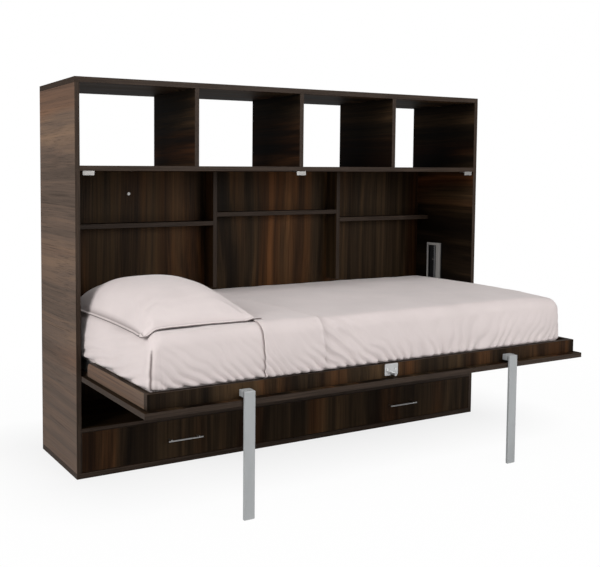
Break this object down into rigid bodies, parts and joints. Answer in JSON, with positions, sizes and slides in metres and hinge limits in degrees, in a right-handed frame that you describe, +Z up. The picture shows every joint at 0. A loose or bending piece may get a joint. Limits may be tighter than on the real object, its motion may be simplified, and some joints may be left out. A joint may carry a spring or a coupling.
{
  "type": "wall bed",
  "caption": "Single wall bed that tips sideways out of a dark wood cabinet with open cubbies, small shelves behind, folding legs and a wide drawer below.",
  "frame": {"origin": "on the floor, at the middle of the cabinet's back edge, in the wall plane", "axes": "+X along the cabinet to the right seen from the room, -Y out of the wall into the room, +Z up; drawn with the bed lowered"},
  "size_m": [2.1, 1.043, 1.56],
  "materials": {
    "dark_wood": "matt dark walnut",
    "plain_wood": "plain birch",
    "bright_steel": "satin",
    "grey_paint": "silver grey powder coat",
    "mattress_cover": "plain ticking",
    "white_cotton": "soft cotton"
  },
  "bodies": {
    "cabinet": {"back_panel": "dark_wood", "bottom_panel": "dark_wood", "cabinet_dowels": "plain_wood", "cabinet_screws": "bright_steel", "centre_shelf": "dark_wood", "cubby_divider_1": "dark_wood", "cubby_divider_2": "dark_wood", "cubby_divider_3": "dark_wood", "cubby_floor": "dark_wood", "drawer_bay_top": "dark_wood", "left_lift_box": "grey_paint", "left_lift_spring": "bright_steel", "left_pivot_bracket": "bright_steel", "left_shelf": "dark_wood", "left_shelf_divider": "dark_wood", "left_side_panel": "dark_wood", "lift_rods": "bright_steel", "lower_wall_rail": "plain_wood", "pivot_clips": "bright_steel", "right_lift_box": "grey_paint", "right_lift_spring": "bright_steel", "right_pivot_bracket": "bright_steel", "right_shelf": "dark_wood", "right_shelf_divider": "dark_wood", "right_side_panel": "dark_wood", "runner_channels": "bright_steel", "strikers": "bright_steel", "top_panel": "dark_wood", "upper_wall_rail": "plain_wood", "wall_screws": "bright_steel"},
    "drawer": {"drawer_front": "dark_wood", "drawer_sides": "plain_wood", "drawer_back": "plain_wood", "drawer_bottom": "plain_wood", "left_handle": "bright_steel", "right_handle": "bright_steel", "handle_screws": "bright_steel", "runner_bars": "bright_steel"},
    "bed": {"upper_face_panel": "dark_wood", "lower_face_panel": "dark_wood", "front_rail": "dark_wood", "rear_rail": "dark_wood", "left_side_rail": "dark_wood", "right_side_rail": "dark_wood", "deck_frame": "grey_paint", "deck_slats": "plain_wood", "left_pivot_arm": "bright_steel", "right_pivot_arm": "bright_steel", "latch_plate": "bright_steel", "latch_screws": "bright_steel", "leg_brackets": "grey_paint", "mattress": "mattress_cover", "fitted_sheet": "white_cotton", "top_sheet": "white_cotton", "pillow": "white_cotton"},
    "left_leg": {"left_leg": "grey_paint"},
    "right_leg": {"right_leg": "grey_paint"},
    "latch_bolt": {"latch_bolt": "bright_steel"},
    "left_lift_slider": {"left_lift_slider": "bright_steel"},
    "right_lift_slider": {"right_lift_slider": "bright_steel"}
  },
  "joints": [
    {"name": "bed_tilt", "type": "hinge", "parent": "cabinet", "child": "bed", "pos_m": [0, -0.342, 0.498], "axis": [-1, 0, 0], "range_deg": [0, 90], "deforming": ["pillow"]},
    {"name": "left_leg_fold", "type": "hinge", "parent": "bed", "child": "left_leg", "pos_m": [-0.653, -1.038, 0.437], "axis": [0, -1, 0], "range_deg": [0, 90]},
    {"name": "right_leg_fold", "type": "hinge", "parent": "bed", "child": "right_leg", "pos_m": [0.617, -1.038, 0.437], "axis": [0, 1, 0], "range_deg": [0, 90]},
    {"name": "latch_slide", "type": "slide", "parent": "bed", "child": "latch_bolt", "axis": [0, 1, 0], "range_m": [0, 0.03], "stiffness_N_per_m": 200},
    {"name": "drawer_slide", "type": "slide", "parent": "cabinet", "child": "drawer", "axis": [0, -1, 0], "range_m": [0, 0.3]},
    {"name": "left_lift_slide", "type": "slide", "parent": "cabinet", "child": "left_lift_slider", "axis": [0, 0, -1], "range_m": [0, 0.269], "deforming": ["left_lift_spring"]},
    {"name": "right_lift_slide", "type": "slide", "parent": "cabinet", "child": "right_lift_slider", "axis": [0, 0, -1], "range_m": [0, 0.269], "deforming": ["right_lift_spring"]}
  ],
  "couplings": [
    {"joint": "left_lift_slide", "follows": "bed_tilt", "m_per_rad": 0.17106},
    {"joint": "right_lift_slide", "follows": "bed_tilt", "m_per_rad": 0.17106}
  ]
}
